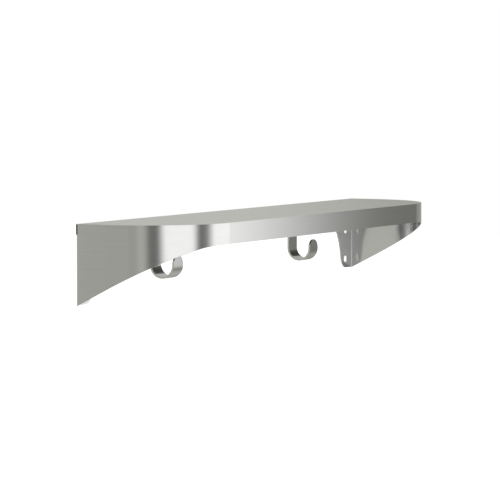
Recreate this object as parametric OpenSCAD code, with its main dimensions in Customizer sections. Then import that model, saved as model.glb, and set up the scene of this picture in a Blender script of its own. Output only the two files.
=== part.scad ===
// Wall shelf with two hooks, welded from satin stainless sheet and flat strip.
// Frame: X runs along the wall, +Y points into the wall, +Z is up.
// The origin lies on the wall plane, at the middle of the four screw holes.

/* [Shelf] */
// Length of the shelf along the wall
shelf_w = 600; // [560:1:900]
// Depth of the shelf from the wall to its front face
shelf_d = 121; // [115:1:180]
// Radius of the two front corners, seen from above
corner_r = 88; // [60:1:95]
// Thickness of the sheet that the top, apron and cheeks are made of
sheet_t = 1.2; // [1:0.1:1.5]

/* [Apron and cheeks] */
// Height of the apron along the front
apron_h = 20.5; // [16:0.5:28]
// Height of the cheeks at the wall
cheek_h = 80; // [76:1:100]
// Distance from the wall at which the slanted lower edge of a cheek has risen to the apron's height
cheek_run = 117; // [100:1:119]
// Radius that blends the slanted lower edge into the apron's lower edge
profile_blend_r = 30; // [10:1:60]

/* [Wall flanges] */
// Width of a flange at its foot, from the outside of the cheek
flange_w = 27; // [26:1:36]
// Radius of the flange's hollow inner edge, which widens it towards the rail
flare_r = 80; // [76:1:110]
// Radius of the flange's lower inner corner
flange_corner_r = 13; // [4:1:15]
// Height by which the flange stops short of the cheek's lowest point
flange_relief = 1; // [0.5:0.1:2]
// Inner radius of the fold between cheek and flange
fold_r = 0.8; // [0.5:0.1:1.5]

/* [Screw holes] */
// Diameter of a screw hole
hole_d = 8; // [5:0.5:9]
// Distance from the outside of the cheek to the hole centres
hole_edge = 17; // [15:0.5:20]
// Distance from the top of the shelf to the upper hole
hole_drop = 36; // [30:1:40]
// Distance between the two holes of a flange
hole_pitch = 33; // [25:1:35]

/* [Rear rail] */
// Height of the rail
rail_h = 10.5; // [8:0.5:14]
// Thickness of the strip that the rail and the hooks are made of
strip_t = 2; // [1.5:0.1:3]

/* [Hooks] */
// Distance between the middles of the two hooks
hook_spacing = 300; // [200:1:340]
// Width of a hook
hook_w = 19; // [12:0.5:25]
// Outer radius of the hook's bend
hook_r = 14; // [10:0.5:18]
// Distance from the top of the shelf to the lowest point of a hook
hook_drop = 62; // [55:0.5:75]
// Height of a hook's tip above its lowest point
hook_tip_h = 23.6; // [23.5:0.1:35]
// Depth to which a hook's shank is let into the rail's lower edge
hook_let_in = 4; // [2:0.5:5]

/* [Welds] */
// Leg of a fillet weld
weld_leg = 2; // [1:0.1:3]
// Length of one stitch of weld along the front and the rail
weld_l = 12; // [8:1:20]
// Distance between stitches along the front and the rail
weld_pitch = 75; // [50:1:100]
// Share of a cheek's straight part that its stitch covers
cheek_weld_share = 0.4; // [0.2:0.05:0.8]

/* [Hidden] */

$fn = 96;
cut_over = 1;
half_w = shelf_w / 2;
// Height of the shelf's top above the middle of the holes
top_z = hole_drop + hole_pitch / 2;
fold_outer_r = fold_r + sheet_t;
// Middle of a front corner, for the right-hand side
corner_x = half_w - corner_r;
corner_y = -(shelf_d - corner_r);
// Depth of the notch that lets the rail in at the top of the fold
rail_notch_d = max(strip_t, fold_outer_r);
// The blend between the slanted edge and the apron's edge
cheek_rise = cheek_h - apron_h;
cheek_angle = atan(cheek_rise / cheek_run);
blend_tangent = profile_blend_r * tan(cheek_angle / 2);
// Where the flange is at its widest, measured from the outside of the cheek
flange_reach = flange_w + flare_r;
flange_foot = cheek_h - flange_relief;
// Middle of the hook's bend, as distances from the wall and below the top
hook_bend_drop = hook_drop - hook_r;
hook_top_drop = rail_h - hook_let_in;
hook_gap_y = 2 * hook_r - strip_t;
weld_span = shelf_w - 2 * corner_r;
weld_gaps = floor((weld_span - weld_l) / weld_pitch);
// Straight part of a cheek, between the rolled corner and the rail
cheek_straight = -corner_y - strip_t;

sheet_colour = [0.74, 0.73, 0.71];
strip_colour = [0.62, 0.62, 0.60];
weld_colour = [0.50, 0.48, 0.45];

// Places its children so that zero height is the top of the shelf.
module below_top() {
    translate([0, 0, top_z]) children();
}

// Draws its children for the left-hand and the right-hand side.
module both_sides() {
    for (side = [0, 1]) mirror([side, 0, 0]) children();
}

// Turns a side view, drawn with its X into the room and its Y up, into a bar along X.
module across(length) {
    rotate([90, 0, -90]) linear_extrude(height = length, center = true) children();
}

// Turns a front view, drawn with X along the wall and Y up, into a slab from y_rear forwards.
module from_wall(y_rear, thickness) {
    translate([0, y_rear, 0]) rotate([90, 0, 0]) linear_extrude(height = thickness) children();
}

// A quarter of a bent sheet seen from its edge, in the quadrant of +X and +Y.
module quarter_bend(outer_r, thickness) {
    intersection() {
        difference() {
            circle(r = outer_r);
            circle(r = outer_r - thickness);
        }
        square(outer_r);
    }
}

// The right-hand half of the band from above: front, rolled corner, cheek, fold and flange.
module band_plan() {
    translate([0, -shelf_d]) square([corner_x, sheet_t]);
    translate([corner_x, corner_y]) mirror([0, 1]) quarter_bend(corner_r, sheet_t);
    translate([half_w - sheet_t, corner_y]) square([sheet_t, -corner_y - fold_outer_r]);
    translate([half_w - fold_outer_r, -fold_outer_r]) quarter_bend(fold_outer_r, sheet_t);
    translate([half_w - flange_reach, -sheet_t]) square([flange_reach - fold_outer_r, sheet_t]);
}

// What is cut away below the apron and the cheeks, in side view.
module below_cheek() {
    low = -(cheek_h + cut_over);
    front = shelf_d + cut_over;
    rear = -cut_over;
    slope = cheek_rise / cheek_run;
    difference() {
        polygon([[rear, low], [rear, -cheek_h + rear * slope], [cheek_run, -apron_h], [front, -apron_h], [front, low]]);
        difference() {
            polygon([
                [cheek_run, -apron_h],
                [cheek_run + blend_tangent, -apron_h],
                [cheek_run - blend_tangent * cos(cheek_angle), -apron_h - blend_tangent * sin(cheek_angle)]
            ]);
            translate([cheek_run + blend_tangent, -apron_h - profile_blend_r]) circle(r = profile_blend_r, $fn = 4 * $fn);
        }
    }
}

// One wall flange from the front, measured inwards from the outside of the cheek.
module flange_face() {
    difference() {
        translate([0, -flange_foot]) square([flange_reach, flange_foot - rail_h]);
        translate([flange_reach, -cheek_h]) circle(r = flare_r, $fn = 2 * $fn);
        difference() {
            translate([flange_w - flange_corner_r, -flange_foot - cut_over])
                square([flange_corner_r + cut_over, flange_corner_r + cut_over]);
            translate([flange_w - flange_corner_r, -flange_foot + flange_corner_r]) circle(r = flange_corner_r);
        }
    }
}

// What is cut away between the two flanges, from the front.
module between_flanges() {
    reach = half_w - fold_outer_r;
    difference() {
        translate([-reach, -cheek_h - cut_over]) square([2 * reach, cheek_h + 2 * cut_over]);
        both_sides() translate([half_w, 0]) mirror([1, 0]) flange_face();
    }
}

module apron_band() {
    color(sheet_colour) below_top() difference() {
        translate([0, 0, -cheek_h]) linear_extrude(height = cheek_h) both_sides() band_plan();
        across(shelf_w + 2 * cut_over) below_cheek();
        from_wall(cut_over, cut_over + fold_outer_r) between_flanges();
        translate([-half_w - cut_over, -rail_notch_d, -rail_h])
            cube([shelf_w + 2 * cut_over, rail_notch_d + cut_over, rail_h + cut_over]);
        both_sides() for (drop = [hole_drop, hole_drop + hole_pitch])
            from_wall(cut_over, sheet_t + 2 * cut_over) translate([half_w - hole_edge, -drop]) circle(d = hole_d);
    }
}

// The right-hand half of the shelf's plate from above, inside the band.
module plate_plan() {
    inner_r = corner_r - sheet_t;
    translate([0, corner_y]) square([half_w - sheet_t, -corner_y - strip_t]);
    translate([0, corner_y - inner_r]) square([corner_x, inner_r]);
    translate([corner_x, corner_y]) intersection() {
        circle(r = inner_r);
        translate([0, -inner_r]) square(inner_r);
    }
}

module top_plate() {
    color(sheet_colour) below_top() translate([0, 0, -sheet_t])
        linear_extrude(height = sheet_t) both_sides() plate_plan();
}

module rear_rail() {
    color(strip_colour) below_top() difference() {
        translate([-half_w, -strip_t, -rail_h]) cube([shelf_w, strip_t, rail_h]);
        both_sides() translate([hook_spacing / 2 - hook_w / 2, -strip_t - cut_over, -rail_h - cut_over])
            cube([hook_w, strip_t + 2 * cut_over, hook_let_in + cut_over]);
    }
}

// A hook in side view: shank, half-round bend and the foot of the tip.
module hook_side() {
    translate([0, -hook_bend_drop]) square([strip_t, hook_bend_drop - hook_top_drop]);
    translate([hook_r, -hook_bend_drop]) both_sides() mirror([0, 1]) quarter_bend(hook_r, strip_t);
    translate([hook_gap_y, -hook_bend_drop]) square([strip_t, hook_tip_h - hook_r]);
}

// What is cut away round the tip, from the front.
module round_tip() {
    translate([0, -hook_drop + hook_tip_h - hook_w / 2]) difference() {
        translate([-hook_w / 2 - cut_over, 0]) square([hook_w + 2 * cut_over, hook_w / 2 + cut_over]);
        circle(d = hook_w);
    }
}

module hook() {
    color(strip_colour) below_top() difference() {
        across(hook_w) hook_side();
        from_wall(-hook_r, hook_r + cut_over) round_tip();
    }
}

module left_hook() {
    translate([-hook_spacing / 2, 0, 0]) hook();
}

module right_hook() {
    translate([hook_spacing / 2, 0, 0]) hook();
}

// One stitch of fillet weld, its corner at the origin, running along X.
module stitch(length) {
    across(length) polygon([[0, 0], [weld_leg, 0], [0, -weld_leg]]);
}

module stitch_welds() {
    color(weld_colour) below_top() translate([0, 0, -sheet_t]) {
        for (i = [0 : weld_gaps]) translate([(i - weld_gaps / 2) * weld_pitch, 0, 0]) {
            translate([0, -strip_t, 0]) stitch(weld_l);
            translate([0, -(shelf_d - sheet_t), 0]) rotate([0, 0, 180]) stitch(weld_l);
        }
        both_sides() translate([half_w - sheet_t, corner_y + cheek_straight / 2, 0])
            rotate([0, 0, -90]) stitch(cheek_straight * cheek_weld_share);
    }
}

apron_band();
top_plate();
rear_rail();
left_hook();
right_hook();
stitch_welds();
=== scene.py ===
"""Looks of a wall shelf with two hooks, welded from satin stainless sheet and flat strip.

The top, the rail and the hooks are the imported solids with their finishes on, the strips with eased edges. The
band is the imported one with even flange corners, and the stitch welds under the top are drawn as real beads.
Everything is in metres, in the part's own frame: X along the wall, +Y into the wall, +Z up.
"""

import logging
import math
from dataclasses import dataclass, field
from enum import Enum
from typing import ClassVar

import bmesh
import bpy
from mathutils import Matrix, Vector


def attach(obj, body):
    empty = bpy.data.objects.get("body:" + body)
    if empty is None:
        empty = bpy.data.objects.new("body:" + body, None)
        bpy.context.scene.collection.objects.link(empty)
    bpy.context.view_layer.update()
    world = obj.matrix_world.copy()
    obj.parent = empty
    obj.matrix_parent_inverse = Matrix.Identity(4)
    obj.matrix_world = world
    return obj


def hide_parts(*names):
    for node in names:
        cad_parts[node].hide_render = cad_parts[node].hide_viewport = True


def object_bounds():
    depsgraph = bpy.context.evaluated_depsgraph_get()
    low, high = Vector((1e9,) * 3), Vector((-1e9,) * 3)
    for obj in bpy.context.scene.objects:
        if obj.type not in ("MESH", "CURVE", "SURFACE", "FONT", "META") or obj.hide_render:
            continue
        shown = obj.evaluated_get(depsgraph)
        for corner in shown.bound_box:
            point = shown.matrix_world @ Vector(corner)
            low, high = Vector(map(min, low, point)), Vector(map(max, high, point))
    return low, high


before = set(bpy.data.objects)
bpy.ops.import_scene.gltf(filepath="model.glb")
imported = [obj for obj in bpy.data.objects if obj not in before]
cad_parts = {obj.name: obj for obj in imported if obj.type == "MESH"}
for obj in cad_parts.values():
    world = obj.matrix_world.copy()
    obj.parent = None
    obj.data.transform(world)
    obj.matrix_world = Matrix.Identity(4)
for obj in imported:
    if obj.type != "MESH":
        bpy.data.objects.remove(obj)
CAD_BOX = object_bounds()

log = logging.getLogger("shelf")

MM = 0.001
ROOT_BODY = "root"

# Fractal noise keeps almost all of its values between these two.
NOISE_LOW = 0.3
NOISE_HIGH = 0.7

# The Mix node's sockets share their names, so they go by number.
FACTOR = 0
VALUE_A = 2
VALUE_B = 3
COLOUR_A = 6
COLOUR_B = 7
MIXED_VALUE = 0
MIXED_COLOUR = 2


def linear(hex_colour: str) -> tuple[float, float, float, float]:
    """Turns an sRGB hex colour into linear light, by the standard's own curve.

    Args:
        hex_colour: Six hex digits, with or without a leading hash.

    Returns:
        Red, green, blue and an alpha of one.
    """
    digits = hex_colour.lstrip("#")
    channels = [int(digits[i : i + 2], 16) / 255 for i in (0, 2, 4)]
    lit = [c / 12.92 if c <= 0.04045 else ((c + 0.055) / 1.055) ** 2.4 for c in channels]
    return lit[0], lit[1], lit[2], 1.0


def shade(hex_colour: str, times: float) -> tuple[float, float, float, float]:
    """Gives a hex colour in linear light, made darker or lighter by a factor."""
    red, green, blue, alpha = linear(hex_colour)
    return min(1.0, red * times), min(1.0, green * times), min(1.0, blue * times), alpha


def add_node(tree: bpy.types.NodeTree, kind: str, settings: dict[str | int, object] | None = None,
             links: dict[str | int, bpy.types.NodeSocket] | None = None) -> bpy.types.Node:
    """Adds one node, with its settings and its incoming links.

    Args:
        tree: The node tree that it goes into.
        kind: The node's type name.
        settings: Properties by name, and input values by the input's name or number.
        links: Output sockets of other nodes, by the name or number of the input that each one feeds.

    Returns:
        The new node.
    """
    node = tree.nodes.new(kind)
    for key, value in (settings or {}).items():
        if isinstance(key, str) and hasattr(node, key):
            setattr(node, key, value)
        else:
            node.inputs[key].default_value = value
    for key, socket in (links or {}).items():
        tree.links.new(socket, node.inputs[key])
    return node


def around(middle: float, spread: float) -> dict[str, float]:
    """Gives the settings that turn noise into values round a middle one, by a spread to either side."""
    low, high = middle - spread, middle + spread
    return {"From Min": NOISE_LOW, "From Max": NOISE_HIGH, "To Min": low, "To Max": high}


def bare_tree(owner: bpy.types.Material | bpy.types.World) -> bpy.types.NodeTree:
    """Turns on the nodes of a material or a world, and clears them.

    Args:
        owner: The material or the world.

    Returns:
        Its empty node tree.
    """
    owner.use_nodes = True
    owner.node_tree.nodes.clear()
    return owner.node_tree


def smoothstep(share: float) -> float:
    """Eases a share of 0 to 1 in and out."""
    t = min(1.0, max(0.0, share))
    return t * t * (3 - 2 * t)


def mesh_object(name: str, shape: bmesh.types.BMesh) -> bpy.types.Object:
    """Turns a bmesh into a linked object and frees the bmesh.

    Args:
        name: The object's name.
        shape: The finished bmesh.

    Returns:
        The new object, at the origin.
    """
    data = bpy.data.meshes.new(name)
    shape.to_mesh(data)
    shape.free()
    made = bpy.data.objects.new(name, data)
    bpy.context.scene.collection.objects.link(made)
    return made


class Grain(Enum):
    """The way that the brushing lines of a piece run."""

    LEVEL_ROUND_BAND = "level lines on every upright face"
    ALONG_WALL = "lines along X"
    ALONG_STRIP = "lines along a strip that is bent in the YZ plane"


class Facing(Enum):
    """The way that a plain face looks."""

    DOWN = "down"
    SIDEWAYS = "to either side along X"


@dataclass(frozen=True)
class Look:
    """What feeds a metal's surface: its colour, its roughness and the height of its relief."""

    colour: bpy.types.NodeSocket
    roughness: bpy.types.NodeSocket
    height: bpy.types.NodeSocket


@dataclass(frozen=True)
class PlainFace:
    """A face of a brushed piece that the belt didn't reach, such as a sawn end or the mill side of a sheet.

    The eye sees an even grey without lines, faintly mottled where the rolls or the saw left it. On the top's
    underside this grey is set dark, as painted shade.
    """

    # The real mottling is finer than a tenth of a millimetre. It is drawn this coarse, so that it shows.
    mottle_mm: ClassVar[float] = 2.5
    mottle_tint: ClassVar[float] = 0.12
    mottle_gloss: ClassVar[float] = 0.03
    # A face counts as facing this way from this share of its normal along the axis.
    facing_from: ClassVar[float] = 0.9

    facing: Facing
    colour: str
    roughness: float

    def mask(self, tree: bpy.types.NodeTree) -> bpy.types.NodeSocket:
        """Makes a switch that is on where the surface faces this way.

        Args:
            tree: The material's node tree.

        Returns:
            The switch's output.
        """
        geometry = add_node(tree, "ShaderNodeNewGeometry")
        normal = add_node(tree, "ShaderNodeSeparateXYZ", links={0: geometry.outputs["Normal"]})
        if self.facing is Facing.DOWN:
            return add_node(tree, "ShaderNodeMath", {"operation": "LESS_THAN", 1: -self.facing_from},
                            {0: normal.outputs["Z"]}).outputs[0]
        sideways = add_node(tree, "ShaderNodeMath", {"operation": "ABSOLUTE"}, {0: normal.outputs["X"]})
        return add_node(tree, "ShaderNodeMath", {"operation": "GREATER_THAN", 1: self.facing_from},
                        {0: sideways.outputs[0]}).outputs[0]

    def cover(self, tree: bpy.types.NodeTree, place: bpy.types.NodeSocket, brushed: Look) -> Look:
        """Puts this face's own look over the brushed one where the switch is on.

        Args:
            tree: The material's node tree.
            place: The place on the piece.
            brushed: The look of the brushed faces.

        Returns:
            The look with this face in it.
        """
        mask = self.mask(tree)
        mottle = add_node(tree, "ShaderNodeTexNoise",
                          {"Scale": 1 / (self.mottle_mm * MM), "Detail": 4.0, "Roughness": 0.6},
                          {"Vector": place}).outputs["Fac"]
        tint = add_node(tree, "ShaderNodeMix",
                        {"data_type": "RGBA", COLOUR_A: shade(self.colour, 1 - self.mottle_tint),
                         COLOUR_B: shade(self.colour, 1 + self.mottle_tint)},
                        {FACTOR: mottle})
        shine = add_node(tree, "ShaderNodeMapRange", around(self.roughness, self.mottle_gloss),
                         {"Value": mottle})
        colour = add_node(tree, "ShaderNodeMix", {"data_type": "RGBA"},
                          {FACTOR: mask, COLOUR_A: brushed.colour, COLOUR_B: tint.outputs[MIXED_COLOUR]})
        roughness = add_node(tree, "ShaderNodeMix", {"data_type": "FLOAT"},
                             {FACTOR: mask, VALUE_A: brushed.roughness, VALUE_B: shine.outputs[0]})
        height = add_node(tree, "ShaderNodeMix", {"data_type": "FLOAT"},
                          {FACTOR: mask, VALUE_A: brushed.height, VALUE_B: mottle})
        return Look(colour.outputs[MIXED_COLOUR], roughness.outputs[MIXED_VALUE], height.outputs[MIXED_VALUE])


@dataclass(frozen=True)
class BrushedStainless:
    """Austenitic stainless steel, belt-brushed to a satin finish.

    The eye sees faint parallel lines. Along them a reflection stays sharp and across them it is smeared,
    so on the band upright edges mirror crisply and the light spreads up and down.
    """

    # The real lines are about 0.1 mm apart. They are drawn as coarse as a pixel, so that they show.
    line_pitch_mm: ClassVar[float] = 1.6
    line_length_mm: ClassVar[float] = 60.0
    line_depth_mm: ClassVar[float] = 0.002
    line_relief: ClassVar[float] = 0.35
    line_tint: ClassVar[float] = 0.06
    line_gloss: ClassVar[float] = 0.01
    # Broad, faint clouds are left by the belt's uneven pressure.
    cloud_mm: ClassVar[float] = 70.0
    cloud_gloss: ClassVar[float] = 0.012
    # A slight lean keeps the smear's direction from standing square on any face.
    smear_lean: ClassVar[float] = 0.02

    name: str
    grain: Grain
    colour: str
    roughness: float
    anisotropy: float
    plain_face: PlainFace | None = None

    def stretch(self) -> tuple[float, float, float]:
        """Gives the pattern's repeats in each metre along X, Y and Z."""
        fine = 1 / (self.line_pitch_mm * MM)
        long = 1 / (self.line_length_mm * MM)
        return {
            Grain.LEVEL_ROUND_BAND: (long, long, fine),
            Grain.ALONG_WALL: (long, fine, fine),
            Grain.ALONG_STRIP: (fine, long, long),
        }[self.grain]

    def smear(self, tree: bpy.types.NodeTree) -> bpy.types.NodeSocket:
        """Makes the direction across the lines, in which the reflection is smeared.

        Args:
            tree: The material's node tree.

        Returns:
            A vector output.
        """
        if self.grain is Grain.ALONG_STRIP:
            return add_node(tree, "ShaderNodeCombineXYZ",
                            {0: 1.0, 1: self.smear_lean, 2: self.smear_lean}).outputs[0]
        geometry = add_node(tree, "ShaderNodeNewGeometry")
        normal = add_node(tree, "ShaderNodeSeparateXYZ", links={0: geometry.outputs["Normal"]})
        flatness = add_node(tree, "ShaderNodeMath", {"operation": "ABSOLUTE"}, {0: normal.outputs["Z"]})
        upright = add_node(tree, "ShaderNodeMath", {"operation": "SUBTRACT", 0: 1.0},
                           {1: flatness.outputs[0]})
        return add_node(tree, "ShaderNodeCombineXYZ", {0: self.smear_lean},
                        {1: flatness.outputs[0], 2: upright.outputs[0]}).outputs[0]

    def brushed_look(self, tree: bpy.types.NodeTree, place: bpy.types.NodeSocket) -> Look:
        """Makes the brushing lines and the clouds.

        Args:
            tree: The material's node tree.
            place: The place on the piece.

        Returns:
            The look of the brushed faces.
        """
        stretched = add_node(tree, "ShaderNodeVectorMath", {"operation": "MULTIPLY", 1: self.stretch()},
                             {0: place})
        lines = add_node(tree, "ShaderNodeTexNoise", {"Scale": 1.0, "Detail": 4.0, "Roughness": 0.65},
                         {"Vector": stretched.outputs[0]}).outputs["Fac"]
        cloud = add_node(tree, "ShaderNodeTexNoise",
                         {"Scale": 1 / (self.cloud_mm * MM), "Detail": 3.0, "Roughness": 0.55},
                         {"Vector": place}).outputs["Fac"]
        tint = add_node(tree, "ShaderNodeMix",
                        {"data_type": "RGBA", COLOUR_A: shade(self.colour, 1 - self.line_tint),
                         COLOUR_B: shade(self.colour, 1 + self.line_tint)},
                        {FACTOR: lines})
        line_part = add_node(tree, "ShaderNodeMapRange", around(0.0, self.line_gloss), {"Value": lines})
        cloud_part = add_node(tree, "ShaderNodeMapRange", around(self.roughness, self.cloud_gloss),
                              {"Value": cloud})
        gloss = add_node(tree, "ShaderNodeMath", {"operation": "ADD"},
                         {0: line_part.outputs[0], 1: cloud_part.outputs[0]})
        return Look(tint.outputs[MIXED_COLOUR], gloss.outputs[0], lines)

    def build(self) -> bpy.types.Material:
        """Makes the material.

        Returns:
            The finished material.
        """
        material = bpy.data.materials.new(self.name)
        tree = bare_tree(material)
        place = add_node(tree, "ShaderNodeTexCoord").outputs["Object"]
        look = self.brushed_look(tree, place)
        if self.plain_face:
            look = self.plain_face.cover(tree, place, look)
        relief = add_node(tree, "ShaderNodeBump",
                          {"Strength": self.line_relief, "Distance": self.line_depth_mm * MM},
                          {"Height": look.height})
        metal = add_node(tree, "ShaderNodeBsdfPrincipled", {"Metallic": 1.0, "Anisotropic": self.anisotropy},
                         {"Base Color": look.colour, "Roughness": look.roughness,
                          "Normal": relief.outputs["Normal"], "Tangent": self.smear(tree)})
        add_node(tree, "ShaderNodeOutputMaterial", links={"Surface": metal.outputs[0]})
        return material


@dataclass(frozen=True)
class WeldMetal:
    """Stainless weld filler, brushed by hand and pickled: a duller, slightly brown grey with a soft sheen."""

    name: str = "pickled_weld_metal"
    colour: str = "#A9A49B"
    # Specks of brown oxide that the pickling left
    oxide_colour: str = "#8A8074"
    roughness: float = 0.42
    speck_gloss: float = 0.08
    speck_mm: float = 0.8
    speck_depth_mm: float = 0.05
    speck_relief: float = 0.4

    def build(self) -> bpy.types.Material:
        """Makes the material.

        Returns:
            The finished material.
        """
        material = bpy.data.materials.new(self.name)
        tree = bare_tree(material)
        place = add_node(tree, "ShaderNodeTexCoord").outputs["Object"]
        specks = add_node(tree, "ShaderNodeTexNoise",
                          {"Scale": 1 / (self.speck_mm * MM), "Detail": 4.0, "Roughness": 0.6},
                          {"Vector": place}).outputs["Fac"]
        tint = add_node(tree, "ShaderNodeMix",
                        {"data_type": "RGBA", COLOUR_A: linear(self.oxide_colour),
                         COLOUR_B: linear(self.colour)},
                        {FACTOR: specks})
        gloss = add_node(tree, "ShaderNodeMapRange", around(self.roughness, -self.speck_gloss),
                         {"Value": specks})
        relief = add_node(tree, "ShaderNodeBump",
                          {"Strength": self.speck_relief, "Distance": self.speck_depth_mm * MM},
                          {"Height": specks})
        metal = add_node(tree, "ShaderNodeBsdfPrincipled", {"Metallic": 1.0},
                         {"Base Color": tint.outputs[MIXED_COLOUR], "Roughness": gloss.outputs[0],
                          "Normal": relief.outputs["Normal"]})
        add_node(tree, "ShaderNodeOutputMaterial", links={"Surface": metal.outputs[0]})
        return material


def dress(node: str, material: bpy.types.Material) -> None:
    """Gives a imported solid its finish.

    Args:
        node: The solid's node name.
        material: The finish.
    """
    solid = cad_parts[node]
    solid.data.materials.clear()
    solid.data.materials.append(material)
    log.info("%s wears %s", node, material.name)


@dataclass
class FlangeCorner:
    """The outline at the foot of a wall flange, where its hollow edge runs into the rounded lower corner.

    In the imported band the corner's arc lies too far out for the two to touch, which leaves a step and a burr.
    Here its middle moves in until they do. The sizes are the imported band's, in mm, across from the outside of
    the cheek and down from the shelf's top.
    """

    half_length: float = CAD_BOX[1].x / MM
    top: float = CAD_BOX[1].z / MM
    hollow_across: float = 107.0
    hollow_drop: float = 80.0
    hollow_r: float = 80.0
    corner_across: float = 14.0
    corner_drop: float = 66.0
    corner_r: float = 13.0
    # The burr's straight side
    burr_across: float = 28.0
    # A point this close to a line or an arc lies on it.
    near: float = 0.02
    # A face is flat on the wall from this share of its normal along Y.
    flat_from: float = 0.99

    def on_hollow(self, drop: float) -> tuple[float, float]:
        """Gives the place on the hollow edge at a height."""
        return self.hollow_across - math.sqrt(self.hollow_r ** 2 - (self.hollow_drop - drop) ** 2), drop

    def burr_foot(self) -> float:
        """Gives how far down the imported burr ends."""
        over = self.hollow_across - self.burr_across
        return self.hollow_drop - math.sqrt(self.hollow_r ** 2 - over ** 2)

    def on_corner(self, packed_turn: float) -> tuple[float, float]:
        """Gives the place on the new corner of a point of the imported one.

        Args:
            packed_turn: The point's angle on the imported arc, from 0 at the step to a quarter turn below.

        Returns:
            The distances across and down.
        """
        fall = self.hollow_drop - self.corner_drop
        reach = self.hollow_r + self.corner_r
        touch_turn = math.asin(fall / reach)
        turn = touch_turn + packed_turn * (1 - touch_turn / (math.pi / 2))
        middle = self.hollow_across - math.sqrt(reach ** 2 - fall ** 2)
        return middle + self.corner_r * math.cos(turn), self.corner_drop + self.corner_r * math.sin(turn)

    def mended(self, across: float, drop: float) -> tuple[float, float]:
        """Moves a point of the burr or the corner to the even outline, and keeps any other point.

        Args:
            across: The distance from the outside of the cheek.
            drop: The distance down from the top.

        Returns:
            The point's new distances across and down.
        """
        side, down = across - self.corner_across, drop - self.corner_drop
        if min(side, down) < -self.near:
            return across, drop
        if abs(across - self.burr_across) < self.near:
            # The burr's two points swap heights, so that the outline runs down without turning back.
            return self.on_hollow(self.corner_drop + self.burr_foot() - drop)
        if abs(math.hypot(side, down) - self.corner_r) <= self.near:
            return self.on_corner(math.atan2(down, side))
        return across, drop

    def mend(self, sheet: bpy.types.Mesh) -> None:
        """Evens out the corner of both flanges, and divides their flat faces anew round the moved points.

        Args:
            sheet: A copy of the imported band's mesh.
        """
        shape = bmesh.new()
        shape.from_mesh(sheet)
        moves = {}
        for vertex in shape.verts:
            old = self.half_length - abs(vertex.co.x) / MM, self.top - vertex.co.z / MM
            new = self.mended(*old)
            if new != old:
                moves[vertex] = new
        inner = [edge for edge in shape.edges
                 if len(edge.link_faces) == 2 and (edge.verts[0] in moves or edge.verts[1] in moves)
                 and all(abs(face.normal.y) > self.flat_from for face in edge.link_faces)]
        bmesh.ops.dissolve_edges(shape, edges=inner)
        for vertex, (across, drop) in moves.items():
            vertex.co.x = math.copysign((self.half_length - across) * MM, vertex.co.x)
            vertex.co.z = (self.top - drop) * MM
        bmesh.ops.triangulate(shape, faces=[face for face in shape.faces if len(face.verts) > 3])
        shape.to_mesh(sheet)
        shape.free()


@dataclass
class SheetWork:
    """The folded band and the top that is let into it, both of satin sheet."""

    band_finish: BrushedStainless = BrushedStainless(
        "satin_stainless_band", Grain.LEVEL_ROUND_BAND, "#DFDFDE", roughness=0.2, anisotropy=0.85)
    # The top's underside isn't brushed: it keeps the even, unlined face of the rolled sheet. Its dark grey is
    # painted shade, for the shade under the top.
    top_finish: BrushedStainless = BrushedStainless(
        "satin_stainless_top", Grain.ALONG_WALL, "#DFDFDE", roughness=0.24, anisotropy=0.8,
        plain_face=PlainFace(Facing.DOWN, "#6C6C6A", roughness=0.25))
    flange_corner: FlangeCorner = field(default_factory=FlangeCorner)

    def build_band(self) -> None:
        """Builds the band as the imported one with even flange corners, in its place."""
        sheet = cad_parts["apron_band"].data.copy()
        self.flange_corner.mend(sheet)
        sheet.materials.clear()
        sheet.materials.append(self.band_finish.build())
        band = bpy.data.objects.new("folded_band", sheet)
        bpy.context.scene.collection.objects.link(band)
        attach(band, ROOT_BODY)
        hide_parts("apron_band")
        log.info("folded_band: %d faces", len(sheet.polygons))

    def build(self) -> None:
        """Builds the band and dresses the top."""
        self.build_band()
        dress("top_plate", self.top_finish.build())


@dataclass
class StripWork:
    """The rear rail and the two hooks, all of satin flat strip."""

    # The rail's end faces are drawn dark grey and rough.
    rail_finish: BrushedStainless = BrushedStainless(
        "satin_stainless_rail", Grain.ALONG_WALL, "#DBDBDA", roughness=0.24, anisotropy=0.7,
        plain_face=PlainFace(Facing.SIDEWAYS, "#6E6E6B", roughness=0.5))
    # The hooks' narrow sides are ground, and light.
    hook_finish: BrushedStainless = BrushedStainless(
        "satin_stainless_hook", Grain.ALONG_STRIP, "#DBDBDA", roughness=0.17, anisotropy=0.5,
        plain_face=PlainFace(Facing.SIDEWAYS, "#E0E0DC", roughness=0.22))
    edge_round_mm: float = 0.5
    edge_steps: int = 2
    edge_from_deg: float = 50.0
    join_within_mm: float = 0.01

    def ease_edges(self, node: str) -> None:
        """Rounds the strip's long edges and cut ends a little, as rolled and ground strip has them.

        Args:
            node: The strip's node name.
        """
        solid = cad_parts[node]
        joined = solid.modifiers.new("joined_corners", "WELD")
        joined.merge_threshold = self.join_within_mm * MM
        eased = solid.modifiers.new("eased_edges", "BEVEL")
        eased.width = self.edge_round_mm * MM
        eased.segments = self.edge_steps
        eased.limit_method = "ANGLE"
        eased.angle_limit = math.radians(self.edge_from_deg)
        evened = solid.modifiers.new("evened_normals", "WEIGHTED_NORMAL")
        evened.keep_sharp = False

    def build(self) -> None:
        """Dresses the rail and both hooks."""
        dress("rear_rail", self.rail_finish.build())
        hook_metal = self.hook_finish.build()
        for node in ("left_hook", "right_hook"):
            dress(node, hook_metal)
        for node in ("rear_rail", "left_hook", "right_hook"):
            self.ease_edges(node)


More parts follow.
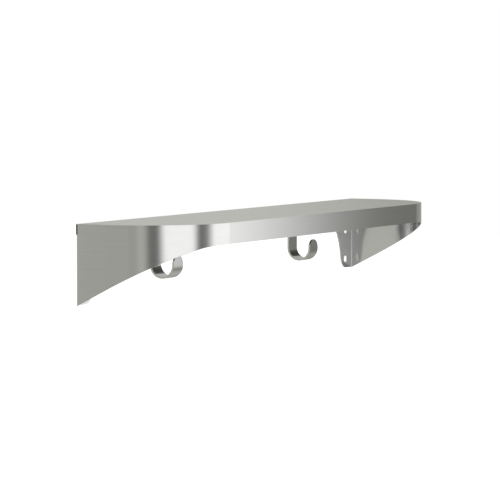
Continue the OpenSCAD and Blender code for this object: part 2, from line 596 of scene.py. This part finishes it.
@dataclass(frozen=True)
class StitchPlace:
    """Where one stitch lies: the box of its plain solid, and the corner of the joint that it fills.

    The axes are 0 for X and 1 for Y. The joint's corner runs along the box's top, at the foot on the side
    axis, and the stitch stands out from it in the direction out, which is 1 or -1.
    """

    low: Vector
    high: Vector
    run_axis: int
    side_axis: int
    foot: float
    out: int

    @classmethod
    def of(cls, corners: list[Vector]) -> "StitchPlace":
        """Reads the place from the plain solid.

        Args:
            corners: The plain solid's corners.

        Returns:
            The place.
        """
        low = Vector(min(c[i] for c in corners) for i in range(3))
        high = Vector(max(c[i] for c in corners) for i in range(3))
        run_axis = 0 if high.x - low.x > high.y - low.y else 1
        side_axis = 1 - run_axis
        foot = min(corners, key=lambda c: c.z)[side_axis]
        out = 1 if foot < (low[side_axis] + high[side_axis]) / 2 else -1
        return cls(low, high, run_axis, side_axis, foot, out)

    @property
    def length(self) -> float:
        """Gives the stitch's length."""
        return (self.high - self.low)[self.run_axis]

    @property
    def leg(self) -> float:
        """Gives the height of the weld's leg."""
        return (self.high - self.low).z

    def at(self, along: float, off: float, drop: float) -> Vector:
        """Gives a point of the stitch.

        Args:
            along: The share of the stitch's length.
            off: The distance out from the joint's corner.
            drop: The distance down from it.

        Returns:
            The point.
        """
        point = Vector((0, 0, self.high.z - drop))
        point[self.run_axis] = self.low[self.run_axis] + self.length * along
        point[self.side_axis] = self.foot + self.out * off
        return point


@dataclass
class StitchWelds:
    """The short fillet welds under the top, each drawn as a rippled bead in place of its plain solid."""

    ripple_mm: float = 1.1
    ripple_depth_share: float = 0.16
    rings_per_ripple: int = 6
    fewest_rings: int = 8
    face_points: int = 7
    # The higher this power, the longer the bead stays full before its ends fall away.
    end_power: int = 8
    # The face is a fillet's flat slope with a share of a swelled one in it.
    swell_share: float = 0.25
    swell: float = 1.2
    # Corners within this distance are of one stitch, and the next stitch is much farther away.
    one_stitch_mm: float = 15.0
    finish: WeldMetal = field(default_factory=WeldMetal)

    def stitches(self) -> list[list[Vector]]:
        """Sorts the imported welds' corners by stitch.

        Returns:
            For each stitch, the corners of its solid.
        """
        groups: list[list[Vector]] = []
        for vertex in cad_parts["stitch_welds"].data.vertices:
            place = vertex.co.copy()
            near = [g for g in groups if (g[0] - place).length < self.one_stitch_mm * MM]
            if near:
                near[0].append(place)
            else:
                groups.append([place])
        return groups

    def fullness(self, along: float, length: float) -> float:
        """Gives how full the bead is at a place, with its ripples and its rounded ends.

        Args:
            along: The share of the stitch's length.
            length: The stitch's length.

        Returns:
            A share of the weld's leg.
        """
        end = math.sqrt(max(0.0, 1 - (2 * along - 1) ** self.end_power))
        wave = abs(math.sin(math.pi * along * length / (self.ripple_mm * MM)))
        return end * (1 - self.ripple_depth_share * wave)

    def profile(self, turn: float) -> float:
        """Gives the bead's reach from the joint's corner at an angle, as a share of its leg."""
        flat = 1 / (abs(math.cos(turn)) + abs(math.sin(turn)))
        return (1 - self.swell_share) * flat + self.swell_share * min(1.0, flat * self.swell)

    def bead(self, corners: list[Vector], shape: bmesh.types.BMesh) -> None:
        """Adds one bead inside the box of its plain solid.

        Args:
            corners: The plain solid's corners.
            shape: The bmesh that the bead is added to.
        """
        place = StitchPlace.of(corners)
        rings = max(self.fewest_rings, round(place.length / (self.ripple_mm * MM) * self.rings_per_ripple))
        loops = []
        for i in range(rings + 1):
            along = i / rings
            leg = place.leg * self.fullness(along, place.length)
            points = []
            for k in range(self.face_points):
                turn = math.pi / 2 * k / (self.face_points - 1)
                reach = leg * self.profile(turn)
                points.append(place.at(along, reach * math.cos(turn), reach * math.sin(turn)))
            points.append(place.at(along, 0.0, 0.0))
            loops.append([shape.verts.new(point) for point in points])
        for one, two in zip(loops, loops[1:]):
            for k in range(len(one)):
                ahead = (k + 1) % len(one)
                shape.faces.new((one[k], one[ahead], two[ahead], two[k]))
        shape.faces.new(loops[0])
        shape.faces.new(loops[-1][::-1])

    def build(self) -> None:
        """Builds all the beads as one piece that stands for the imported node."""
        shape = bmesh.new()
        for corners in self.stitches():
            self.bead(corners, shape)
        bmesh.ops.recalc_face_normals(shape, faces=shape.faces)
        for face in shape.faces:
            face.smooth = True
        beads = mesh_object("weld_beads", shape)
        beads.data.materials.append(self.finish.build())
        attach(beads, ROOT_BODY)
        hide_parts("stitch_welds")
        log.info("weld_beads: %d faces", len(beads.data.polygons))


@dataclass(frozen=True)
class Card:
    """A stretch of the reflector wall with one light. Between two cards the light eases over.

    The glow holds at the shelf's height, the low glow far below it, and the tone is the light's colour.
    """

    name: str
    from_deg: float
    to_deg: float
    glow: float
    low_glow: float
    tone: str = "#FFFFFF"

    def light(self, low: bool) -> Vector:
        """Gives the card's light at the shelf's height, or far below it."""
        return Vector(linear(self.tone)[:3]) * (self.low_glow if low else self.glow)


@dataclass
class Studio:
    """The camera, a pale floor, the white room and a round reflector wall that only reflections see.

    Angles run round the shelf from +X towards +Y, so 270 degrees is straight in front of it. Heights are
    angles above the horizon, and distances are in metres.
    """

    camera_place: tuple[float, float, float] = (-2.53271, -1.39864, 0.20032)
    camera_turn_deg: float = 61.594
    camera_tilt_deg: float = 3.764
    camera_reach: float = 100.0
    lens_mm: float = 196.5
    sensor_mm: float = 36.0

    floor_z: float = -1.3
    floor_half: float = 20.0
    floor_colour: str = "#F2F2F0"
    floor_glow: float = 0.5
    room_colour: str = "#FFFFFF"
    room_glow: float = 0.8

    wall_radius: float = 1.05
    wall_foot_deg: float = -90.0
    wall_edge_deg: float = 60.0
    step_deg: float = 1.0
    height_step_deg: float = 3.0
    # From here down, a card's light eases over to its low glow.
    below_from_deg: float = -12.0
    below_full_deg: float = -28.0
    # Deeper down, it eases over to what the floor throws back.
    bounce_from_deg: float = -27.0
    bounce_full_deg: float = -42.0
    bounce_glow: float = 0.6
    # Higher up, it eases over to the light above.
    above_from_deg: float = 9.0
    above_full_deg: float = 32.0
    above_glow: float = 0.58
    # The turn is counted from this angle, which lies between the last card and the first.
    first_deg: float = -18.0
    # Each card gives its name, where it starts and ends in degrees, its glow, its low glow and its tone.
    cards: tuple[Card, ...] = (
        Card("flag side grey", -16.0, -7.0, 0.33, 0.42, "#FFFFF7"),
        Card("rear grey right", 2.0, 13.0, 0.41, 0.34, "#FFFFF5"),
        Card("rear grey middle", 27.0, 33.0, 0.57, 0.3, "#FFFFF5"),
        Card("rear grey", 45.0, 110.0, 0.53, 0.3, "#FFFFF7"),
        Card("rear grey left", 115.0, 150.0, 0.57, 0.3, "#FFFFF7"),
        Card("side grey", 158.0, 182.0, 0.43, 0.25, "#FFFFF7"),
        Card("side grey dip", 186.0, 189.0, 0.4, 0.25, "#FFFFF7"),
        Card("side grey edge", 194.5, 197.0, 0.5, 0.25, "#FFFFF7"),
        Card("camera gap", 205.5, 210.2, 0.165, 0.17, "#FFFFF9"),
        Card("left soft panel", 221.0, 248.5, 1.23, 0.25),
        Card("slit", 262.5, 265.5, 0.175, 0.2),
        Card("slit edge", 267.5, 268.5, 0.23, 0.2),
        Card("front soft panel", 287.5, 316.4, 1.23, 0.25),
        Card("right flag", 332.5, 340.5, 0.186, 0.34, "#FFFFF7"),
    )

    def light_round(self, degrees: float, low: bool) -> Vector:
        """Gives the wall's light at the shelf's own height, or far below it.

        Args:
            degrees: The angle round the shelf.
            low: Whether the light far below is asked for.

        Returns:
            Red, green and blue, where 1 is white.
        """
        angle = (degrees - self.first_deg) % 360 + self.first_deg
        for card in self.cards:
            if card.from_deg <= angle <= card.to_deg:
                return card.light(low)
        after = next((card for card in self.cards if card.from_deg > angle), self.cards[0])
        before = self.cards[self.cards.index(after) - 1]
        gap = (after.from_deg - before.to_deg) % 360
        share = smoothstep(((angle - before.to_deg) % 360) / gap)
        return before.light(low).lerp(after.light(low), share)

    @staticmethod
    def eased(height_deg: float, from_deg: float, full_deg: float) -> float:
        """Gives how far the light has eased over at a height, from 0 where that starts to 1."""
        return smoothstep((height_deg - from_deg) / (full_deg - from_deg))

    def light(self, degrees: float, height_deg: float) -> Vector:
        """Gives the wall's light in a direction.

        Args:
            degrees: The angle round the shelf.
            height_deg: The angle above the horizon.

        Returns:
            Red, green and blue, where 1 is white.
        """
        white = Vector((1.0, 1.0, 1.0))
        down = self.eased(height_deg, self.below_from_deg, self.below_full_deg)
        deep = self.eased(height_deg, self.bounce_from_deg, self.bounce_full_deg)
        up = self.eased(height_deg, self.above_from_deg, self.above_full_deg)
        level = self.light_round(degrees, False).lerp(self.light_round(degrees, True), down)
        return level.lerp(white * self.bounce_glow, deep).lerp(white * self.above_glow, up)

    def glowing_material(self) -> bpy.types.Material:
        """Makes the wall's material, plain light that the metal mirrors.

        Returns:
            The finished material.
        """
        material = bpy.data.materials.new("reflector_cards")
        tree = bare_tree(material)
        level = add_node(tree, "ShaderNodeAttribute", {"attribute_name": "light"})
        shine = add_node(tree, "ShaderNodeEmission", links={"Color": level.outputs["Color"]})
        add_node(tree, "ShaderNodeOutputMaterial", links={"Surface": shine.outputs[0]})
        return material

    def build_wall(self) -> None:
        """Builds the reflector wall, open at the top."""
        shape = bmesh.new()
        columns = round(360 / self.step_deg)
        steps_up = round((self.wall_edge_deg - self.wall_foot_deg) / self.height_step_deg)
        rows = []
        lights: list[float] = []
        for k in range(steps_up + 1):
            height_deg = self.wall_foot_deg + self.height_step_deg * k
            rise = math.radians(height_deg)
            reach = self.wall_radius * math.cos(rise)
            row = []
            for i in range(columns):
                turn = math.radians(i * self.step_deg)
                row.append(shape.verts.new((reach * math.cos(turn), reach * math.sin(turn),
                                            self.wall_radius * math.sin(rise))))
                lights.extend((*self.light(i * self.step_deg, height_deg), 1.0))
            rows.append(row)
        for one, two in zip(rows, rows[1:]):
            for i in range(columns):
                ahead = (i + 1) % columns
                shape.faces.new((one[i], one[ahead], two[ahead], two[i]))
        wall = mesh_object("reflector_wall", shape)
        attribute = wall.data.attributes.new("light", "FLOAT_COLOR", "POINT")
        attribute.data.foreach_set("color", lights)
        wall.data.materials.append(self.glowing_material())
        wall.visible_camera = False
        wall.visible_diffuse = False
        wall.visible_transmission = False
        wall.visible_shadow = False

    def background_rays(self, tree: bpy.types.NodeTree) -> bpy.types.NodeSocket:
        """Makes a switch that is on for camera, glossy and transmission rays.

        Args:
            tree: The node tree that it goes into.

        Returns:
            The switch's output.
        """
        path = add_node(tree, "ShaderNodeLightPath")
        two = add_node(tree, "ShaderNodeMath", {"operation": "MAXIMUM"},
                       {0: path.outputs["Is Camera Ray"], 1: path.outputs["Is Glossy Ray"]})
        return add_node(tree, "ShaderNodeMath", {"operation": "MAXIMUM"},
                        {0: two.outputs[0], 1: path.outputs["Is Transmission Ray"]}).outputs[0]

    def floor_material(self) -> bpy.types.Material:
        """Makes the floor's material, a matt pale paint that takes soft shadows and is clear from below.

        Returns:
            The finished material.
        """
        material = bpy.data.materials.new("matt_pale_floor")
        tree = bare_tree(material)
        matt = add_node(tree, "ShaderNodeBsdfDiffuse", {"Color": linear(self.floor_colour)})
        lift = add_node(tree, "ShaderNodeMath", {"operation": "MULTIPLY", 1: self.floor_glow},
                        {0: self.background_rays(tree)})
        shine = add_node(tree, "ShaderNodeEmission", links={"Strength": lift.outputs[0]})
        both = add_node(tree, "ShaderNodeAddShader", links={0: matt.outputs[0], 1: shine.outputs[0]})
        clear = add_node(tree, "ShaderNodeBsdfTransparent")
        geometry = add_node(tree, "ShaderNodeNewGeometry")
        seen = add_node(tree, "ShaderNodeMixShader",
                        links={0: geometry.outputs["Backfacing"], 1: both.outputs[0], 2: clear.outputs[0]})
        add_node(tree, "ShaderNodeOutputMaterial", links={"Surface": seen.outputs[0]})
        return material

    def build_floor(self) -> None:
        """Builds the plain pale floor."""
        shape = bmesh.new()
        half = self.floor_half
        corners = ((-half, -half), (half, -half), (half, half), (-half, half))
        shape.faces.new([shape.verts.new((x, y, self.floor_z)) for x, y in corners])
        floor = mesh_object("floor", shape)
        floor.data.materials.append(self.floor_material())

    def build_room(self) -> None:
        """Sets the world: white to the camera and in reflections, softer as light."""
        world = bpy.data.worlds.new("white_room")
        bpy.context.scene.world = world
        tree = bare_tree(world)
        colour = linear(self.room_colour)
        light = add_node(tree, "ShaderNodeBackground", {"Color": colour, "Strength": self.room_glow})
        white = add_node(tree, "ShaderNodeBackground", {"Color": colour, "Strength": 1.0})
        seen = add_node(tree, "ShaderNodeMixShader",
                        links={0: self.background_rays(tree), 1: light.outputs[0], 2: white.outputs[0]})
        add_node(tree, "ShaderNodeOutputWorld", links={"Surface": seen.outputs[0]})

    def build_camera(self) -> None:
        """Places the camera at the photograph's viewpoint."""
        data = bpy.data.cameras.new("photo_camera")
        data.lens = self.lens_mm
        data.sensor_width = self.sensor_mm
        data.clip_end = self.camera_reach
        camera = bpy.data.objects.new("photo_camera", data)
        camera.location = self.camera_place
        tilt = math.radians(90 - self.camera_tilt_deg)
        camera.rotation_euler = (tilt, 0.0, -math.radians(self.camera_turn_deg))
        bpy.context.scene.collection.objects.link(camera)
        bpy.context.scene.camera = camera

    def build(self) -> None:
        """Builds the whole studio."""
        self.build_camera()
        self.build_room()
        self.build_floor()
        self.build_wall()
        bpy.context.scene.view_settings.view_transform = "Standard"
        log.info("studio: %d cards on the reflector wall", len(self.cards))


def main() -> None:
    """Builds the studio and dresses the shelf."""
    logging.basicConfig(level=logging.INFO, format="%(name)s: %(message)s")
    Studio().build()
    SheetWork().build()
    StripWork().build()
    StitchWelds().build()


if __name__ == "__main__":
    main()
